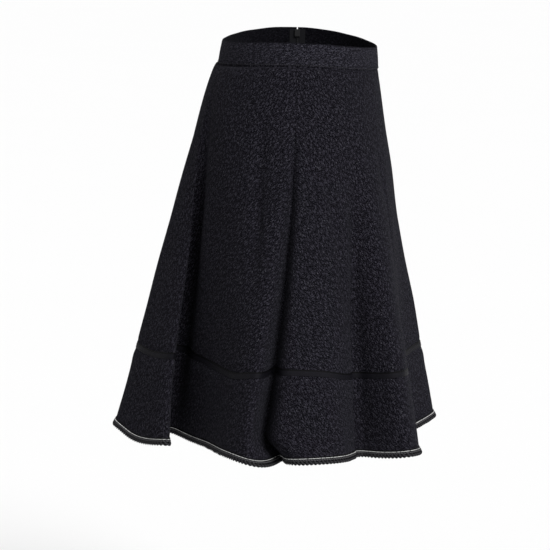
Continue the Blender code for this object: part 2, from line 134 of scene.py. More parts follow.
# Creases and soft swells on the big folds: waist bearings in degrees where each begins and ends,
# shares of the length, millimetres out of the cloth (troughs are negative), width in degrees.
Crease = namedtuple("Crease", "name top_bearing bottom_bearing top bottom out width")
CREASES = [
    Crease("trough_behind_seam", 112, 105, 0.08, 0.66, -6.5, 4.2),
    Crease("swell_behind_seam", 97, 97, 0.04, 0.50, 1.4, 2.4),
    Crease("trough_right_back", 152, 151, 0.12, 1.10, -16.0, 4.0),
    Crease("swell_before_seam", 88.5, 88.5, 0.12, 1.10, 3.0, 1.6),
    Crease("trough_before_seam", 80, 64, 0.08, 0.68, -1.8, 2.2),
    Crease("trough_right_front", 58, 58, 0.26, 1.30, -10.5, 2.9),
    Crease("trough_front_side", 37, 24, 0.10, 0.62, -2.6, 2.8),
    Crease("trough_back_lobe", 166, 168, 0.22, 0.80, -2.6, 4.5),
    Crease("trough_back", 188, 185, 0.10, 0.50, -2.2, 4.0),
    Crease("trough_left_back", 222, 226, 0.16, 0.66, -3.0, 4.2),
    Crease("trough_behind_zip", 246, 243, 0.24, 0.74, -2.4, 3.6),
    Crease("trough_before_zip", 292, 296, 0.16, 0.60, -2.6, 3.8),
    Crease("trough_left_front", 316, 312, 0.14, 0.70, -2.8, 4.0),
    Crease("trough_front", 352, 349, 0.20, 0.66, -2.4, 4.6),
]

# Edges of folds that hang forward or back of the plain folds: a waist bearing and a width in
# degrees, the shares where the swing begins, is most and ends, and millimetres towards the back.
Swing = namedtuple("Swing", "name bearing width top most bottom back")
SWINGS = [
    Swing("right_seam", 91, 7, 0.15, 0.93, 1.00, 24),
    Swing("lobe_edge", 160, 3, 0.10, 0.46, 0.78, -5.5),
    Swing("lobe_edge_low", 160, 3, 0.62, 0.84, 1.00, 2),
    Swing("lobe_under", 154, 2.5, 0.10, 0.60, 1.20, 6),
]

# Where the cloth has dropped on the bias: a waist bearing and a width in degrees, and millimetres
# down at the hem.
BIAS_DROPS = [(164, 4.5, 6)]

# The ribbon is sewn by eye and dips a little between folds: waist bearings, millimetres up.
RIBBON_LIFTS = [(62, -5), (91, 5), (110, -7), (157, 5), (180, 0), (215, 4), (250, -4), (300, 4),
                (335, -4)]

# How the sewn ribbon draws the cloth: metres out, metres above the ribbon's middle, and a width.
RIBBON_PULLS = [(-0.0013, 0.0, 0.007), (0.0007, -0.016, 0.009)]

CREASE_TAPER = 1.3              # the higher, the sooner a crease fades towards its two ends
PLAIN_TOP = 0.04                # share of the length over which the creases grow from nothing
PLAIN_BY_ZIP = 9                # degrees on each side of the zip where the cloth has no creases
ZIP_FADE = 0.06                 # share of the length over which the creases come back below the zip
SWING_EASE = 2.2                # the higher, the later a swing sets in
DROP_EASE = 2.5                 # the same for a drop on the bias
LEAST_DROP = 0.3                # the cloth falls by at least this share of its own length

# How deep stitching draws the cloth in, and how far from the stitches that reaches.
SEAM_DIP, SEAM_DIP_WIDTH = 0.0009, 0.0011
PUCKER_DIP, PUCKER_WIDTH = 0.00015, 0.006
PUCKER_PITCH = 0.0085           # from one pucker to the next
BAND_PUCKER = 0.00022           # how deep the waistband's puckers are, with the same width and pitch
BAND_DIP, BAND_DIP_WIDTH = 0.0010, 0.0012
TUCKED_DIP = 0.0003             # inside the waistband, evenly
SEAM_BLEND = 0.004              # the two panels turn to face one way this close to their seam

# The weave lies this far off each panel's middle line. The two panels mirror each other.
GRAIN_TURN = math.radians(56)
WAIST_RADIUS = 0.265            # of the flat panels, which are parts of a ring

# ---- how fine the meshes are -------------------------------------------------------------------
RING_STEPS = 24                 # places worked out from one fold row to the next
RING_PLACES = np.arange(0, len(FOLDS), 1 / RING_STEPS)
DOWN_STEPS = 200
PANEL_COLUMNS = 262
PANEL_ROWS = 148
SEAM_COLUMNS = [0.0, 0.0006, 0.0011, 0.0017]    # the panels' columns closest to a side seam
EVEN_COLUMNS_FROM = 0.0025                      # from the seam, where the others begin
UPWARD_SHARE = 0.004            # how far above a trim its upward step is read from, as a share
BAND_STEP = 0.0026
RIBBON_STEP = 0.0025
CORD_STEP = 0.0005
BRAID_STEP = 0.0006
SHARP_ANGLE = math.radians(50)

# ---- stitches and zip teeth --------------------------------------------------------------------
STITCH_PITCH = 0.0032
STITCH_RADIUS = 0.00022
STITCH_HEIGHT = 0.0026          # above the waist seam
STITCH_OUT = 0.0003
STITCH_HALF = 0.30              # half a stitch's length, as a share of the pitch
TOOTH_PITCH = 0.0008
TOOTH_RADIUS = TOOTH_PITCH * 0.62
ZIP_LINE_STEP = 4               # rows of the fine grid from one point of the teeth's line to the next
TOOTH_CROSSING = 0.22           # share of the chain's width by which a tooth goes past its middle
SIDES = 6                       # round one stitch or tooth
GIRTHS = ((0, 0.3), (0.15, 0.95), (0.5, 1), (0.85, 0.95), (1, 0.3))    # by share of its length
WEAVE_LENGTH = 0.003            # of one stitch or tooth, in its finish


# ---- the cloth's surface -----------------------------------------------------------------------
def closed_curve(rows, at):
    """A smooth closed curve through the rows, read at places such as 3.5, halfway from row 3 to
    row 4."""
    rows = np.array(rows)
    count = len(rows)
    ahead = np.roll(rows, -1, axis=0) - rows
    gap = np.sqrt(np.hypot(ahead[:, 0], ahead[:, 1]))
    before = np.roll(gap, 1)
    system = np.zeros((count, count))
    for i in range(count):
        system[i, i - 1] = gap[i]
        system[i, i] = 2 * (before[i] + gap[i])
        system[i, (i + 1) % count] = before[i]
    pull = (gap / before)[:, None] * np.roll(ahead, 1, axis=0) + (before / gap)[:, None] * ahead
    slope = np.linalg.solve(system, 3 * pull)
    here = np.floor(at).astype(int) % count
    there = (here + 1) % count
    s = (at % 1)[:, None]
    wide = gap[here][:, None]
    return ((2 * s**3 - 3 * s**2 + 1) * rows[here] + (3 * s**2 - 2 * s**3) * rows[there]
            + (s**3 - 2 * s**2 + s) * wide * slope[here] + (s**3 - s**2) * wide * slope[there])


def unit(vectors):
    return vectors / np.linalg.norm(vectors, axis=-1, keepdims=True)


def smooth_step(x):
    x = np.clip(x, 0, 1)
    return x * x * (3 - 2 * x)


def hump(away, width):
    """1 in the middle of something, and less and less with the distance from it."""
    return np.exp(-(away / width)**2)


def run_along(line):
    """The length along a line up to each of its points."""
    return np.concatenate([[0], np.cumsum(np.linalg.norm(np.diff(line, axis=0), axis=1))])


def read_at(places, run, values):
    """Values known along a run, read at other places of it."""
    return np.stack([np.interp(places, run, values[:, k]) for k in range(values.shape[1])], axis=1)


def oval(bearing, half_width, half_depth):
    """Points of an oval seen from above. Bearings turn from the front by the wearer's right."""
    return np.stack([-half_width * np.sin(bearing), -half_depth * np.cos(bearing)], axis=-1)


def back_or_front(bearing, back, front):
    return np.where(np.cos(bearing) < 0, back, front)


def seam_height(bearing):
    """Height of the waist seam: highest at the sides, and higher behind than in front."""
    rise = SIDE_RISE * np.sin(bearing)**2 + BACK_RISE * (1 - np.cos(bearing)) / 2
    return rise - FRONT_DROP - BAND_HEIGHT


def cloth_columns(at):
    """Each column's folded hem point, waist bearing, fold start and spare length."""
    rows = []
    for fold in FOLDS:
        hem = math.radians(fold.hem_bearing)
        waist = math.radians(fold.waist_bearing)
        reach = fold.hem_reach / 1000
        rows.append([-reach * math.sin(hem), -reach * math.cos(hem), math.cos(waist), math.sin(waist),
                     fold.start, fold.longer / 1000])
    curve = closed_curve(rows, at)
    return curve[:, :2], np.arctan2(curve[:, 3], curve[:, 2]), curve[:, 4], curve[:, 5]


def cloth_plan(at, shares):
    """Where each column is, seen from above, at each share of its length."""
    hem, waist_bearing, start, _ = cloth_columns(at)
    waist = oval(waist_bearing, WAIST_HALF_WIDTH, WAIST_HALF_DEPTH)
    depth = back_or_front(waist_bearing, HEM_HALF_DEPTH_BACK, HEM_HALF_DEPTH_FRONT)
    flare = oval(waist_bearing, HEM_HALF_WIDTH, depth)
    share = shares[None, :]

    def ramp(x):
        return (np.sqrt(x * x + FOLD_SOFTNESS**2) + x) / 2

    first = ramp((-start / (1 - start))[:, None])
    fold = (ramp((share - start[:, None]) / (1 - start[:, None])) - first) / (ramp(1) - first)
    hip_turn = back_or_front(waist_bearing, HIP_BACK, HIP_FRONT) * np.abs(np.cos(waist_bearing))
    hip = (hip_turn + HIP_SIDE * np.abs(np.sin(waist_bearing)))[:, None] * np.sin(np.pi * np.sqrt(share))
    return (waist[:, None] + (flare - waist)[:, None] * share[..., None]
            + (hem - flare)[:, None] * fold[..., None] + unit(waist)[:, None] * hip[..., None])


def outward_of(points):
    """Unit steps out of the cloth from a closed ring of columns."""
    ahead = np.roll(points, -1, axis=0) - np.roll(points, 1, axis=0)
    return unit(np.cross(ahead, np.gradient(points, axis=1)))


def ribbon_lift(bearing):
    """Metres by which the ribbon sits above its even height, at each waist bearing."""
    turns = [0.0] + [at for at, _ in RIBBON_LIFTS] + [360.0]
    lifts = [0.0] + [lift / 1000 for _, lift in RIBBON_LIFTS] + [0.0]
    degrees = np.degrees(bearing) % 360
    step = np.searchsorted(turns, degrees, side="right").clip(1, len(turns) - 1)
    low, high = np.array(turns)[step - 1], np.array(turns)[step]
    along = smooth_step((degrees - low) / (high - low))
    return np.array(lifts)[step - 1] * (1 - along) + np.array(lifts)[step] * along


def crease_depth(bearing, shares):
    """Metres out of the plain folds, for creases, soft unevenness and the pull of the sewn trims."""
    degrees = np.degrees(bearing)[:, None] % 360
    share = shares[None, :]
    out = np.zeros((len(bearing), len(shares)))
    for crease in CREASES:
        along = np.clip((share - crease.top) / (crease.bottom - crease.top), 0, 1)
        line = crease.top_bearing + (crease.bottom_bearing - crease.top_bearing) * along
        away = (degrees - line + 180) % 360 - 180
        out += crease.out / 1000 * hump(away, crease.width) * np.sin(np.pi * along)**CREASE_TAPER
    turn = bearing[:, None]
    # two soft kinds of unevenness: a wide one that grows towards the hem, and a finer one
    out += 0.0007 * np.sin(9 * turn + 5.3 * share) * np.sin(11 * share + 3 * np.cos(4 * turn)) * share
    out += 0.0005 * np.sin(17 * turn - 8 * share + 1.1) * np.sin(19 * share + 2.2 * np.sin(5 * turn))
    past_zip = smooth_step((share - ZIP_END_SHARE) / ZIP_FADE)
    out *= 1 - np.exp(-((degrees - 270) / PLAIN_BY_ZIP)**4) * (1 - past_zip)
    up = (1 - share) * SLANT_LENGTH
    ribbon_middle = RIBBON_MIDDLE + ribbon_lift(bearing)[:, None]
    for pull, above, width in RIBBON_PULLS:
        out += pull * hump(up - ribbon_middle - above, width)
    # the hem flutters a little between the braid's stitches
    out += 0.0004 * hump(up, 0.006) * np.sin(60 * turn + 4 * np.sin(7 * turn))
    return out


def skirt_surface():
    """The finished outer face on a fine closed grid, and the unit steps out of it."""
    shares = np.linspace(0, 1, DOWN_STEPS + 1)
    _, waist_bearing, _, longer = cloth_columns(RING_PLACES)
    plan = cloth_plan(RING_PLACES, shares)
    step = ((SLANT_LENGTH + longer) / DOWN_STEPS)[:, None]
    sideways = np.linalg.norm(np.diff(plan, axis=1), axis=2)
    drop = np.sqrt(np.maximum(step**2 - sideways**2, (LEAST_DROP * step)**2))
    fallen = np.concatenate([np.zeros((len(plan), 1)), np.cumsum(drop, axis=1)], axis=1)
    height = seam_height(waist_bearing)[:, None] - fallen
    plain = np.concatenate([plan, height[..., None]], axis=2)
    out = crease_depth(waist_bearing, shares) * np.minimum(1, shares / PLAIN_TOP)[None, :]
    creased = plain + outward_of(plain) * out[..., None]
    degrees = (np.degrees(waist_bearing) % 360)[:, None]
    for swing in SWINGS:
        rise = np.clip((shares - swing.top) / (swing.most - swing.top), 0, 1)**SWING_EASE
        rise = rise * (1 - smooth_step((shares - swing.most) / (swing.bottom - swing.most)))
        creased[..., 1] += swing.back / 1000 * hump(degrees - swing.bearing, swing.width) * rise
    for bearing, width, down in BIAS_DROPS:
        creased[..., 2] -= down / 1000 * hump(degrees - bearing, width) * shares**DROP_EASE
    return creased, outward_of(creased)


SURFACE, OUTWARD = skirt_surface()
WAIST_BEARINGS = cloth_columns(RING_PLACES)[1]


def at_share(grid, share):
    """One closed line round the skirt, read from a fine grid at a share of the length, which may
    be one number or one for each column."""
    place = np.broadcast_to(share * DOWN_STEPS, (len(grid),))
    low = np.minimum(place.astype(int), DOWN_STEPS - 1)
    column = np.arange(len(grid))
    return grid[column, low] + (grid[column, low + 1] - grid[column, low]) * (place - low)[:, None]


def spaced(line, others, step, closed):
    """A line's points again, evenly spaced, with the values that go with them."""
    lines = [np.concatenate([v, v[:1]]) if closed else v for v in (line, *others)]
    run = run_along(lines[0])
    places = np.linspace(0, run[-1], round(run[-1] / step) + 1)
    if closed:
        places = places[:-1]
    return [read_at(places, run, v) for v in lines] + [places]


# ---- turning grids of points into meshes -------------------------------------------------------
def mesh_piece(name, points, faces, places, finish):
    """A piece of its own. places are where each face's corners lie in the weave, in metres."""
    mesh = bpy.data.meshes.new(name)
    mesh.from_pydata(points.reshape(-1, 3).tolist(), [], faces)
    layer = mesh.uv_layers.new(name="weave")
    layer.uv.foreach_set("vector", np.array(places, dtype=np.float32).ravel())
    mesh.shade_smooth()
    mesh.materials.append(finish)
    piece = bpy.data.objects.new(name, mesh)
    bpy.context.scene.collection.objects.link(piece)
    return piece


def grid_mesh(name, grid, weave, finish, ring=False, tube=False, caps=False):
    """Quads over a grid of points. ring and tube join its ends and its sides, and caps close the
    ends of a tube. weave places each point in the cloth's own flat plane, in metres."""
    rows, columns = grid.shape[:2]
    i, j = np.meshgrid(np.arange(rows - (not ring)), np.arange(columns - (not tube)), indexing="ij")
    corner_i = np.stack([i, i + 1, i + 1, i], axis=-1).reshape(-1, 4)
    corner_j = np.stack([j, j, j + 1, j + 1], axis=-1).reshape(-1, 4)
    faces = (corner_i % rows * columns + corner_j % columns).tolist()
    places = weave[np.minimum(corner_i, weave.shape[0] - 1), np.minimum(corner_j, weave.shape[1] - 1)]
    places = places.reshape(-1, 2)
    if caps:
        half = columns // 2
        for row in (0, rows - 1):
            for k in range(half - 1):
                corners = [k, k + 1, columns - 2 - k, columns - 1 - k]
                corners = corners[::-1] if row == 0 else corners
                faces.append([row * columns + c for c in corners])
                places = np.concatenate([places, weave[row, corners]])
    piece = mesh_piece(name, grid, faces, places, finish)
    piece.data.set_sharp_from_angle(angle=SHARP_ANGLE)
    return piece


def bars(name, starts, ends, outs, radius, finish):
    """Short round bars with narrow ends, each from a start to an end, as one mesh."""
    side = np.cross(unit(ends - starts), outs)
    turns = np.linspace(0, 2 * math.pi, SIDES, endpoint=False)
    points, weave = [], []
    for share, girth in GIRTHS:
        middle = starts + (ends - starts) * share
        ring = [middle + (side * math.cos(a) + outs * math.sin(a)) * radius * girth for a in turns]
        points.append(np.stack(ring, axis=1))
        weave += [[share * WEAVE_LENGTH, a * radius] for a in turns]
    size = len(weave)
    one_bar = []
    for foot in range(0, size - SIDES, SIDES):
        for k in range(SIDES):
            after = (k + 1) % SIDES
            one_bar.append([foot + k, foot + after, foot + SIDES + after, foot + SIDES + k])
    one_bar += [list(range(SIDES))[::-1], list(range(size - SIDES, size))]
    faces = [[bar * size + k for k in face] for bar in range(len(starts)) for face in one_bar]
    places = [weave[k] for face in one_bar for k in face] * len(starts)
    return mesh_piece(name, np.stack(points, axis=1), faces, places, finish)


def close_end(mesh, loop):
    """Adds one face over the end of a folded strip."""
    shape = bmesh.new()
    shape.from_mesh(mesh)
    shape.verts.ensure_lookup_table()
    shape.faces.new([shape.verts[k] for k in loop])
    shape.to_mesh(mesh)
    shape.free()


def placed(piece, slot, *nodes):
    """Puts a finished piece on the skirt's body and hides the solids it stands for. slot, the
    material slot, is not used."""
    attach(piece, "skirt")
    if nodes:
        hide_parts(*nodes)
    return piece


# ---- finishes ----------------------------------------------------------------------------------
class Value:
    """A number, vector or colour that varies over a surface. Arithmetic adds the nodes for it."""

    def __init__(self, finish, socket):
        self.finish = finish
        self.socket = socket

    def math(self, operation, *terms):
        return self.finish.node("ShaderNodeMath", {"operation": operation}, dict(enumerate(terms)))

    def __add__(self, other):
        return self.math("ADD", self, other)

    __radd__ = __add__

    def __sub__(self, other):
        return self.math("SUBTRACT", self, other)

    def __rsub__(self, other):
        return self.math("SUBTRACT", other, self)

    def __mul__(self, other):
        return self.math("MULTIPLY", self, other)

    def __truediv__(self, other):
        return self.math("DIVIDE", self, other)

    def floor(self):
        return self.math("FLOOR", self)

    def fract(self):
        return self.math("FRACT", self)

    def swing(self, pitch):
        """Up and down between -1 and 1, once a pitch."""
        return self.math("SINE", self * (2 * math.pi / pitch))

    def ribs(self, pitch):
        """Up and down between 0 and 1, once a pitch."""
        return self.swing(pitch) * 0.5 + 0.5

    def zigzag(self, top):
        """Up from 0 to top and down again, over and over."""
        return self.math("PINGPONG", self, top)

    def between(self, low, high):
        """0 under low, 1 over high, and a smooth step from one to the other."""
        return self.finish.node("ShaderNodeMapRange", {"interpolation_type": "SMOOTHSTEP"},
                                {"Value": self, "From Min": low, "From Max": high})

    def part(self, name):
        return Value(self.finish, self.socket.node.outputs[name])


def socket_name(setting):
    """The shader's own name for a setting, such as Base Color for base_color."""
    return setting.replace("_", " ").title().replace("Ior", "IOR")


class Finish:
    """A material, with the places in the cloth's plane in millimetres as x and y."""

    def __init__(self, name, **constants):
        self.material = bpy.data.materials.new(name)
        self.material.use_nodes = True
        self.tree = self.material.node_tree
        self.shader = self.tree.nodes["Principled BSDF"]
        for setting, value in constants.items():
            self.shader.inputs[socket_name(setting)].default_value = value
        place = self.node("ShaderNodeUVMap", {"uv_map": "weave"})
        split = self.node("ShaderNodeSeparateXYZ", sockets={"Vector": place})
        self.x = split * 1000
        self.y = split.part("Y") * 1000

    def node(self, kind, settings=None, sockets=None, output=0):
        made = self.tree.nodes.new(kind)
        for name, value in (settings or {}).items():
            setattr(made, name, value)
        for name, value in (sockets or {}).items():
            if isinstance(value, Value):
                self.tree.links.new(value.socket, made.inputs[name])
            else:
                made.inputs[name].default_value = value
        return Value(self, made.outputs[output])

    def point(self, x, y):
        return self.node("ShaderNodeCombineXYZ", sockets={"X": x, "Y": y})

    def noise(self, x, y, detail=1.0):
        return self.node("ShaderNodeTexNoise", {"noise_dimensions": "2D"},
                         {"Vector": self.point(x, y), "Scale": 1.0, "Detail": detail})

    def chance(self, x, y):
        """A number from 0 to 1 for each whole x and y."""
        return self.node("ShaderNodeTexWhiteNoise", {"noise_dimensions": "2D"},
                         {"Vector": self.point(x, y)})

    def mix(self, share, first, second):
        """From the first colour at share 0 to the second at share 1."""
        return self.node("ShaderNodeMix", {"data_type": "RGBA"}, {0: share, 6: first, 7: second}, 2)

    def bump(self, height, distance):
        """Raises the surface by distance metres where height is 1."""
        return self.node("ShaderNodeBump",
                         sockets={"Height": height, "Distance": distance, "Strength": 1.0})

    def surface(self, **links):
        for setting, value in links.items():
            self.tree.links.new(value.socket, self.shader.inputs[socket_name(setting)])
        return self.material


def colour(red, green, blue):
    return (red, green, blue, 1)


# Sizes in the finishes, in millimetres.
SPOT_SIZE = 0.9                 # of the tweed's painted glints
RIBBON_RIB = 0.62
STITCHES_APART = 5.6            # the dark stitches that hold the off-white cord
TAPE_RIB = 0.8
TAPE_ZIGZAG = 1.25
TWIST_LEAN = 0.9                # how far a cord's fibres run along it for each millimetre round it


def tweed(name, dark, light, long, tall, lean, shaded_fold_at=None):
    """Slubs in ranks with dark gaps between them, over fine yarns, with a few painted glints where the
    yarn stands up. The slubs' sizes and the lean of their ranks are in millimetres; above the height
    given by the last argument, in millimetres, the folded top is darkened with painted shade."""
    finish = Finish(name, specular_ior_level=0.02, sheen_weight=0.035, sheen_roughness=0.4,
                    sheen_tint=colour(0.55, 0.56, 0.66))
    stray = finish.noise(finish.x * 0.4, finish.y * 0.4)
    rank = (finish.x + stray * 2.6) / long
    row = (finish.y + stray * 1.8 - rank * lean) / tall
    slubs = finish.node("ShaderNodeTexVoronoi", {"voronoi_dimensions": "2D"},
                        {"Vector": finish.point(rank, row), "Scale": 1.0, "Randomness": 0.9})
    # each slub stands out by a lot of its own, from two fifths to the whole
    lot = (slubs.part("Color") * 7.3).fract()
    slub = (1 - slubs.between(0.08, 0.50)) * (0.4 + lot * 0.6)
    yarn = finish.noise(finish.x * 4.5 / long, finish.y * 3.8 / tall).between(0.32, 0.68)
    fuzz = finish.noise(finish.x * 2.4, finish.y * 2.4, 2.0)
    raised = slub * 0.45 + yarn * 0.55
    tone = finish.mix((raised * 0.95 + (fuzz - 0.5) * 0.6).between(0.16, 0.80), dark, light)
    # painted glints: one spot in forty or so gets a bright painted colour where the yarn stands up, and is
    # also a little metallic and less rough
    spot = finish.chance((finish.x / SPOT_SIZE).floor(), (finish.y / SPOT_SIZE).floor())
    painted_glint = spot.between(0.965, 0.99) * raised.between(0.3, 0.7)
    tone = finish.mix(painted_glint * 0.7, tone, colour(0.12, 0.12, 0.135))
    # painted shade: over the waistband's folded top and on round the section, the tone turns towards the dark
    # one
    if shaded_fold_at:
        tone = finish.mix(finish.y.between(shaded_fold_at - 0.3, shaded_fold_at + 0.5) * 0.8, tone, dark)
    return finish.surface(base_color=tone, roughness=0.95 - painted_glint * 0.4, metallic=painted_glint * 0.4,
                          normal=finish.bump(raised * 0.6 + fuzz * 0.2, 0.001))


def ribbon_weave(name):
    """A close dark ribbon: fine cross ribs, painted shade along its top edge, and a paler lower edge."""
    finish = Finish(name, specular_ior_level=0.07)
    rib = finish.x.ribs(RIBBON_RIB)
    streak = finish.noise(finish.x * 0.35, finish.y * 2.6, 2.0)
    tone = finish.mix((rib * 0.4 + streak * 0.9).between(0.2, 0.95),
                      colour(0.0012, 0.0012, 0.0022), colour(0.0080, 0.0076, 0.0106))
    lower = 1 - finish.y.between(0.15, 1.0)
    # painted shade in the stitched furrow along the ribbon's top edge
    top_edge_shade = finish.y.between(6.2, 7.2)
    tone = finish.mix(lower * streak.between(0.35, 0.7), tone, colour(0.026, 0.025, 0.030))
    tone = finish.mix(top_edge_shade * 0.85, tone, colour(0.0008, 0.0008, 0.0010))
    return finish.surface(base_color=tone, roughness=0.48 + streak * 0.25,
                          normal=finish.bump(rib * 0.5 + streak * 0.4, 0.00018))


def twisted(name, dark, light, strand, least_rough):
    """Fine fibres that run with the twist of a cord, painted light on each turn and painted shade
    between the turns, with x along it and y round it. strand is the twist's pitch in millimetres."""
    finish = Finish(name, specular_ior_level=0.08)
    lean = finish.x + finish.y * TWIST_LEAN
    ply_and_shine = lean.ribs(strand)
    fibre = finish.noise(lean * 3.2, finish.y * 0.5, 2.0)
    # painted highlight on each turn of the twist and painted shade between turns, with the fibres on top
    tone = finish.mix((ply_and_shine * 0.7 + fibre * 0.45).between(0.15, 1.0), dark, light)
    return finish.surface(base_color=tone, roughness=least_rough + fibre * 0.25,
                          normal=finish.bump(ply_and_shine * 0.6 + fibre * 0.4, 0.0002))


def piping_cord(name):
    """Off-white cord whose bright stretches are held down by short dark stitches."""
    finish = Finish(name, specular_ior_level=0.1)
    lean = finish.x + finish.y * TWIST_LEAN
    fibre = finish.noise(lean * 2.6, finish.y * 0.5, 2.0)
    stray = finish.noise(finish.x * 0.11, 0)
    stitch = (finish.x + stray * 5.0).swing(STITCHES_APART).between(0.45, 0.85)
    held = stitch * finish.noise(finish.x * 0.09, 7).between(0.36, 0.52)
    tone = finish.mix(fibre, colour(0.66, 0.66, 0.66), colour(1.0, 1.0, 0.99))
    tone = finish.mix(held * 0.8, tone, colour(0.10, 0.10, 0.105))
    return finish.surface(base_color=tone, roughness=0.6 + fibre * 0.25, normal=finish.bump(fibre, 0.00015))


def tape_weave(name):
    """A herringbone-woven zip tape."""
    finish = Finish(name, specular_ior_level=0.1)
    rib = (finish.x + finish.y.zigzag(TAPE_ZIGZAG) * 1.4).ribs(TAPE_RIB)
    tone = finish.mix(rib, colour(0.003, 0.003, 0.004), colour(0.010, 0.010, 0.012))
    return finish.surface(base_color=tone, roughness=0.65 + rib * 0.2, normal=finish.bump(rib, 0.00015))


def enamel(name):
    """Black enamel over metal, a little rubbed, with its pattern fixed to the piece itself."""
    finish = Finish(name, specular_ior_level=0.5, coat_weight=0.4, coat_roughness=0.15)
    own = finish.node("ShaderNodeTexCoord", output="Object")
    cloud = finish.node("ShaderNodeTexNoise", sockets={"Vector": own, "Scale": 900.0, "Detail": 3.0})
    worn = cloud.between(0.60, 0.75)
    tone = finish.mix(worn * 0.5, colour(0.010, 0.010, 0.011), colour(0.09, 0.088, 0.085))
    return finish.surface(base_color=tone, roughness=0.24 + cloud * 0.22, metallic=worn * 0.8,
                          normal=finish.bump(cloud, 0.00004))


def plain_floor(name):
    """A pale matt floor, very slightly clouded."""
    finish = Finish(name, roughness=0.9, specular_ior_level=0.1)
    cloud = finish.noise(finish.x * 0.002, finish.y * 0.002)
    return finish.surface(base_color=finish.mix(cloud * 0.2, colour(0.88, 0.88, 0.88),
                                                colour(0.86, 0.86, 0.86)))


TWEED = tweed("black_tweed", colour(0.0004, 0.0004, 0.0009), colour(0.0365, 0.0345, 0.0460),
              long=4.9, tall=3.7, lean=2.9)
# the waistband tweed carries painted shade over its folded top, from 1.2 mm under the band's height
BAND_TWEED = tweed("waistband_tweed", colour(0.0008, 0.0008, 0.0014), colour(0.0570, 0.0545, 0.0725),
                   long=5.4, tall=2.3, lean=0.3, shaded_fold_at=BAND_HEIGHT * 1000 - 1.2)
RIBBON = ribbon_weave("dark_ribbon")
OFF_WHITE = piping_cord("off_white_cord")
# the light tones of the cords, threads and coil made by twisted() are painted highlights on the turns of
# their twist
BLACK_CORD = twisted("black_cord", colour(0.0010, 0.0010, 0.0013), colour(0.0260, 0.0255, 0.0285),
                     strand=5.0, least_rough=0.50)
GREY_STRAND = twisted("grey_strand", colour(0.0040, 0.0040, 0.0046), colour(0.0800, 0.0785, 0.0840),
                      strand=3.2, least_rough=0.55)
THREAD = twisted("dark_thread", colour(0.0120, 0.0120, 0.0140), colour(0.0900, 0.0880, 0.0960),
                 strand=0.5, least_rough=0.50)
# the heading tape is partly painted shadow: its black strip above the off-white cord stands in for a line of
# shade
SHADOW_HEADING = twisted("black_heading_painted_shadow", colour(0.0010, 0.0010, 0.0012), colour(0.0050, 0.0050, 0.0058),
                  strand=0.9, least_rough=0.60)
ZIP_TAPE = tape_weave("black_zip_tape")
COIL = twisted("black_coil", colour(0.006, 0.006, 0.007), colour(0.018, 0.018, 0.020),
               strand=2.0, least_rough=0.2)
ENAMEL = enamel("black_enamel")


# ---- front and back panels ---------------------------------------------------------------------
def sewn_dip(from_seam, down):
    """Metres by which stitching draws the cloth in, beside the side seams and under the waistband.
    Above the waist seam, where down is below 0, the cloth lies evenly in the waistband."""
    pucker = PUCKER_DIP * np.sin(down / PUCKER_PITCH * 2 * math.pi) * hump(from_seam, PUCKER_WIDTH)
    by_band = BAND_DIP * hump(down, BAND_DIP_WIDTH) if down >= 0 else TUCKED_DIP
    return SEAM_DIP * hump(from_seam, SEAM_DIP_WIDTH) + pucker + by_band


def panel_row(span, share, mirror):
    """One row of a panel, a share of the length down from the waist seam: its points on the outer
    face, the steps out of them, and where they lie in the weave."""
    down = share * SLANT_LENGTH
    line = at_share(SURFACE, max(share, 0.0))[span] + [0, 0, max(-down, 0)]
    out = at_share(OUTWARD, max(share, 0.0))[span]
    run = run_along(line)
    width = run[-1]
    even = np.linspace(EVEN_COLUMNS_FROM, width - EVEN_COLUMNS_FROM, PANEL_COLUMNS - 2 * len(SEAM_COLUMNS))
    places = np.concatenate([SEAM_COLUMNS, even, width - np.array(SEAM_COLUMNS)[::-1]])
    from_seam = np.minimum(places, width - places)
    near = hump(from_seam, SEAM_BLEND)[:, None]
    seam_out = np.where((places < width / 2)[:, None], out[0], out[-1])
    out = unit(unit(read_at(places, run, out)) * (1 - near) + seam_out * near)
    line = read_at(places, run, line) - out * sewn_dip(from_seam, down)[:, None]
    radius = WAIST_RADIUS + down
    angle = (width / 2 - places) / radius * mirror
    x, y = radius * np.sin(angle), -radius * np.cos(angle)
    cos, sin = math.cos(GRAIN_TURN), math.sin(GRAIN_TURN)
    return line, out, np.stack([x * cos + y * sin, y * cos - x * sin], axis=1)


def panel(name, first, last, mirror, node):
    """One flared panel between two seams, as a thin closed wall, laid out in its own flat plane."""
    span = np.arange(first * RING_STEPS, last * RING_STEPS + 1) % len(RING_PLACES)
    shares = np.linspace(0, 1 - CLOTH_HEM / SLANT_LENGTH, PANEL_ROWS)
    rows = [panel_row(span, share, mirror) for share in [-BAND_TUCK / SLANT_LENGTH, *shares]]
    outer, out, weave = (np.stack(grids, axis=1) for grids in zip(*rows))
    inner = outer - out * CLOTH_THICKNESS
    wall, weave = (np.concatenate([face, behind[:, ::-1]], axis=1)
                   for face, behind in ((outer, inner), (weave, weave)))
    return placed(grid_mesh(name, wall, weave, TWEED, tube=True, caps=True), "tweed", node)


front = panel("front_panel_cloth", LEFT_SEAM, RIGHT_SEAM + len(FOLDS), 1, "panel_front")
back = panel("back_panel_cloth", RIGHT_SEAM, LEFT_SEAM, -1, "panel_back")


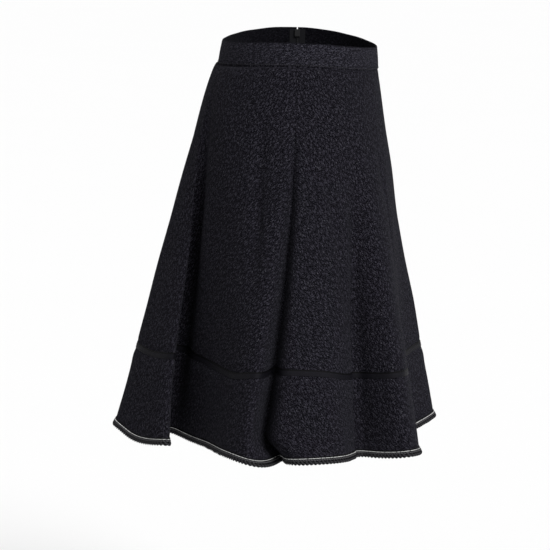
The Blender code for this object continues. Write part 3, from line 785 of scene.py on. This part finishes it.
# ---- waistband ---------------------------------------------------------------------------------
def band_section():
    """The folded strip's section as (millimetres in from the outer face, height): outer layer,
    fold, inner layer, then back along the faces that meet inside."""
    height = BAND_HEIGHT * 1000
    thick = BAND_THICKNESS * 1000
    layer = thick / 2 - 0.1     # so that the two layers' hidden faces don't touch
    foot = 0.3                  # the strip begins this far above the waist seam
    fold_foot = height - thick / 2
    # the outer face rolls in at its foot, over a small height, and bulges in its middle
    roll_in, roll_height, bulge = 0.9, 0.9, 0.45
    ups = np.linspace(foot, fold_foot, 14)
    outer = [(roll_in * hump(h - foot, roll_height) - bulge * math.sin(math.pi * h / height), h)
             for h in ups]
    fold = [(thick / 2 * (1 - math.cos(a)), fold_foot + thick / 2 * math.sin(a))
            for a in np.linspace(0, math.pi, 8)[1:-1]]
    inner = [(thick, h) for h in ups[::-1]]
    levels = [foot, height / 2, fold_foot]
    hidden = [(thick - layer, h) for h in levels] + [(layer, h) for h in levels[::-1]]
    return np.array(outer + fold + inner + hidden)


def waistband():
    """The folded strip round the waist, from one edge of the zip's slot to the other."""
    bearing = np.radians(np.linspace(270, 630, 361))
    seam = oval(bearing, WAIST_HALF_WIDTH, WAIST_HALF_DEPTH)
    seam, turned, run = spaced(seam, [np.stack([np.cos(bearing), np.sin(bearing)], axis=1)], BAND_STEP, False)
    bearing = np.arctan2(turned[:, 1], turned[:, 0])
    slide = unit(np.gradient(seam, axis=0))
    seam[0] += slide[0] * ZIP_SLOT / 2
    seam[-1] -= slide[-1] * ZIP_SLOT / 2
    inset = (BAND_TOP_INSET_SIDE * np.sin(bearing)**2
             + back_or_front(bearing, BAND_TOP_INSET_BACK, BAND_TOP_INSET_FRONT) * np.cos(bearing)**2)
    outward = unit(seam)
    section = band_section() / 1000
    # slow waves along the strip, which grow towards its upper edge
    wobble = 0.0003 * np.sin(run * 61) * np.sin(run * 23 + 1) + 0.0002 * np.sin(run * 140)
    puckers = BAND_PUCKER * np.sin(run / PUCKER_PITCH * 2 * math.pi + np.sin(run * 40))
    loops = []
    for depth, up in section:
        share = up / BAND_HEIGHT
        into = inset * share + depth + puckers * hump(up, PUCKER_WIDTH) + wobble * share * 0.6
        height = seam_height(bearing) + up + wobble * share**4 * 0.8
        loops.append(np.concatenate([seam - outward * into[:, None], height[:, None]], axis=1))
    weave = np.stack(np.meshgrid(-run, run_along(section), indexing="ij"), axis=-1)
    piece = grid_mesh("waistband_cloth", np.stack(loops, axis=1), weave, BAND_TWEED, tube=True)
    count = len(section)
    for row in (0, len(run) - 1):
        face = [row * count + k for k in range(count)]
        close_end(piece.data, face if row else face[::-1])
    return placed(piece, "tweed", "waistband")


def waist_stitches():
    """The row of small stitches just over the waist seam, a little uneven."""
    count = round(WAIST_GIRTH / STITCH_PITCH)
    number = np.arange(count)
    bearing = math.radians(270) + 2 * math.pi * (number + 0.5) / count
    stray = np.sin(number * 2.4) * np.sin(number * 0.71)    # from -1 to 1, another for each stitch
    half = 2 * math.pi / count * (STITCH_HALF + 0.06 * stray)
    ends = []
    for side in (-1, 1):
        turn = bearing + side * half
        seam = oval(turn, WAIST_HALF_WIDTH, WAIST_HALF_DEPTH)
        height = seam_height(turn) + STITCH_HEIGHT + 0.0002 * stray * side
        ends.append(np.concatenate([seam + unit(seam) * STITCH_OUT, height[:, None]], axis=1))
    outs = np.concatenate([unit(oval(bearing, 1, 1)), np.zeros((count, 1))], axis=1)
    return placed(bars("waist_stitches", *ends, outs, STITCH_RADIUS, THREAD), "tweed")


band = waistband()
stitches = waist_stitches()


# ---- trims that run round the skirt ------------------------------------------------------------
def ring_frame(up, step):
    """Evenly spaced places round the skirt at a height above the hem, one number or one for each
    column, with steps up and out."""
    share = 1 - up / SLANT_LENGTH
    here = at_share(SURFACE, share)
    above = at_share(SURFACE, share - UPWARD_SHARE)
    place, out, up_cloth, run = spaced(here, [at_share(OUTWARD, share), above - here], step, True)
    along = unit(np.roll(place, -1, axis=0) - np.roll(place, 1, axis=0))
    out = unit(out - along * np.sum(out * along, axis=1, keepdims=True))
    rise = unit(up_cloth - out * np.sum(up_cloth * out, axis=1, keepdims=True))
    return place, rise, out, run


def ring_strip(name, up, step, section, finish):
    """A closed strip; section(run) gives (up, out) for each place and point, in metres."""
    place, rise, out, run = ring_frame(up, step)
    points = section(run)
    grid = place[:, None] + rise[:, None] * points[..., :1] + out[:, None] * points[..., 1:]
    girth = run_along(np.concatenate([points[0], points[0][:1]]))
    ends = np.append(run, run[-1] + step)
    weave = np.stack(np.meshgrid(ends, girth, indexing="ij"), axis=-1)
    return grid_mesh(name, grid, weave, finish, ring=True, tube=True)


def flat_section(shape, thick, run):
    """A strip's section, the same at each place: metres up and shares of its thickness out."""
    points = np.array(shape)
    points[:, 1] = SEAM_GAP + points[:, 1] * thick
    return np.repeat(points[None], len(run), axis=0)


def trim_ribbon():
    """The dark ribbon, with a small ridge along each edge, sewn on in a slight wave."""
    half = (RIBBON_TOP - RIBBON_BOTTOM) / 2
    shape = [(-half, 0), (-half, 0.7), (-half + 0.0005, 1), (-half + 0.0012, 0.85), (-half / 2, 0.95),
             (0, 1), (half / 2, 0.95), (half - 0.0014, 0.8), (half - 0.0007, 0.98), (half, 0.7), (half, 0)]

    def section(run):
        points = flat_section(shape, RIBBON_THICKNESS, run)
        points[:, :, 0] += 0.00025 * np.sin(run * 70 + 2 * np.sin(run * 13))[:, None]
        return points

    piece = ring_strip("trim_ribbon_band", RIBBON_MIDDLE + ribbon_lift(WAIST_BEARINGS), RIBBON_STEP,
                       section, RIBBON)
    return placed(piece, "ribbon", "trim_ribbon")


def cord_section(run, tall, thick, behind, pitch, deep, points):
    """A cord of two strands that turn once a pitch, flattened to a height and a thickness, with
    something this thick behind it. deep is the share by which it thins between the strands."""
    angle = np.linspace(0, 2 * math.pi, points, endpoint=False)
    swell = 1 - deep * np.sin(angle[None, :] - 2 * math.pi * run[:, None] / pitch)**2
    up = np.cos(angle) * tall / 2 * swell
    out = SEAM_GAP + behind + thick / 2 + np.sin(angle) * thick / 2 * swell
    return np.stack([up, out], axis=-1)


def ring_cord(name, up, step, finish, **shape):
    """A closed cord round the skirt. shape is what cord_section asks for."""
    return ring_strip(name, up, step, lambda run: cord_section(run, **shape), finish)


def hem_piping():
    """The off-white cord, a twist of two, which lies on the braid's heading tape."""
    piece = ring_cord("hem_piping_cord", (PIPING_TOP + PIPING_BOTTOM) / 2, CORD_STEP, OFF_WHITE,
                      tall=0.0006, thick=0.0009, behind=HEADING_THICKNESS, pitch=0.0056, deep=0.20,
                      points=8)
    return placed(piece, "piping", "hem_piping")


def hem_braid():
    """The thick black cord on the hem edge. Its twist makes the edge scalloped."""
    piece = ring_cord("hem_braid_cord", BRAID_CORD_TOP / 2, BRAID_STEP, BLACK_CORD,
                      tall=BRAID_CORD_TOP + BRAID_CORD_SPARE, thick=BRAID_THICKNESS, behind=0,
                      pitch=0.0100, deep=0.60, points=16)
    return placed(piece, "braid", "hem_braid")


def grey_strand():
    """The thinner grey cord between the black one and the off-white one."""
    piece = ring_cord("hem_braid_grey_strand", (BRAID_CORD_TOP + BRAID_TOP) / 2, BRAID_STEP, GREY_STRAND,
                      tall=BRAID_TOP - BRAID_CORD_TOP - STRAND_GAP, thick=0.0016,
                      behind=HEADING_THICKNESS / 2, pitch=0.0064, deep=0.25, points=10)
    return placed(piece, "braid")


def braid_shadow_heading():
    """The narrow black tape behind the cords, which is sewn to the cloth; the strip of it that shows above
    them is painted shadow, a line of shade over the off-white cord.
    """
    half = (SHADOW_HEADING_TOP - BRAID_CORD_TOP) / 2 + HEADING_SPARE
    shape = [(-half, 0), (-half, 1), (0, 0.8), (half * 0.85, 1), (half, 0.4), (half, 0)]
    piece = ring_strip("hem_braid_heading_painted_shadow", (SHADOW_HEADING_TOP + BRAID_CORD_TOP) / 2, BRAID_STEP,
                       lambda run: flat_section(shape, HEADING_THICKNESS, run), SHADOW_HEADING)
    return placed(piece, "braid")


ribbon = trim_ribbon()
piping = hem_piping()
braid = hem_braid()
heading = braid_shadow_heading()
strand = grey_strand()


# ---- zip ---------------------------------------------------------------------------------------
def carried(node, finish):
    """One of the solids, kept as it is in a finish of its own."""
    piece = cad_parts[node]
    piece.data.materials.clear()
    piece.data.materials.append(finish)
    return piece


def zip_teeth():
    """The closed coil: loops from the two tapes in turn, which cross in the middle."""
    inside = 2 * SEAM_GAP + ZIP_TAPE_THICKNESS + CHAIN_THICKNESS / 2
    column = LEFT_SEAM * RING_STEPS
    seam = float(seam_height(math.radians(270)))
    top = seam + BAND_HEIGHT - SLIDER_BELOW_EDGE - SLIDER_HEIGHT - SEAM_GAP
    in_band = WAIST_HALF_WIDTH - BAND_THICKNESS - inside
    line = [(in_band, 0, top), (in_band, 0, seam)]
    for k in range(ZIP_LINE_STEP, round(ZIP_END_SHARE * DOWN_STEPS), ZIP_LINE_STEP):
        line.append(SURFACE[column, k] - OUTWARD[column, k] * (CLOTH_THICKNESS + inside))
    line = np.array(line)
    run = run_along(line)
    places = np.arange(TOOTH_PITCH, run[-1], TOOTH_PITCH)
    middle = read_at(places, run, line)
    side = np.where(np.arange(len(places)) % 2 == 0, 1.0, -1.0)[:, None] * [0, 1, 0]
    outs = unit(np.cross(unit(np.gradient(middle, axis=0)), side))
    starts = middle + side * CHAIN_WIDTH / 2
    ends = middle - side * CHAIN_WIDTH * TOOTH_CROSSING
    piece = bars("zip_coil_teeth", starts, ends, outs, TOOTH_RADIUS, COIL)
    return placed(piece, "zip_chain", "zip_chain")


WELD_WITHIN = 0.00001
SOFT_EDGE = 0.0002
for node in ("zip_slider", "zip_pull"):
    piece = carried(node, ENAMEL)
    weld = piece.modifiers.new("joined_corners", "WELD")
    weld.merge_threshold = WELD_WITHIN
    soft = piece.modifiers.new("soft_edges", "BEVEL")
    soft.width = SOFT_EDGE
    soft.segments = 2
    soft.limit_method = "ANGLE"
for node in ("zip_tape_back", "zip_tape_front"):
    carried(node, ZIP_TAPE)
zip_teeth()

# ---- floor, light and camera -------------------------------------------------------------------
FLOOR_HEIGHT = -1.02
FLOOR_HALF = 40
SKY_STRENGTH = 0.48
KEY_PLACE = (-3.0, -1.95, 2.6)
KEY_AIM = (0, 0, -0.3)
KEY_STRENGTH = 3.3
KEY_SPREAD = math.radians(28)
EYE = (-3.5, 0.030, 0.30)
AIM = (0, 0.030, -0.31)
LENS = 176.7
SENSOR_WIDTH = 36

floor_corners = np.array([[(x, y, FLOOR_HEIGHT) for x in (-FLOOR_HALF, FLOOR_HALF)]
                          for y in (-FLOOR_HALF, FLOOR_HALF)])
floor_weave = floor_corners[..., :2] + FLOOR_HALF
floor = grid_mesh("floor", floor_corners, floor_weave, plain_floor("pale_floor"))
floor.visible_diffuse = False   # no light comes back up from it

sky = bpy.data.worlds.new("studio")
sky.use_nodes = True
background = sky.node_tree.nodes["Background"]
background.inputs["Color"].default_value = colour(1, 1, 1)
background.inputs["Strength"].default_value = SKY_STRENGTH
bpy.context.scene.world = sky


def look_at(thing, place, aim):
    """Puts a lamp or camera in the scene, turned towards a point."""
    thing.location = place
    thing.rotation_euler = (Vector(aim) - Vector(place)).to_track_quat("-Z", "Y").to_euler()
    bpy.context.scene.collection.objects.link(thing)


key = bpy.data.lights.new("soft_key", "SUN")
key.energy = KEY_STRENGTH
key.angle = KEY_SPREAD
look_at(bpy.data.objects.new("soft_key", key), KEY_PLACE, KEY_AIM)

camera = bpy.data.objects.new("camera", bpy.data.cameras.new("camera"))
camera.data.lens = LENS
camera.data.sensor_width = SENSOR_WIDTH
look_at(camera, EYE, AIM)
bpy.context.scene.camera = camera
bpy.context.scene.view_settings.view_transform = "Standard"
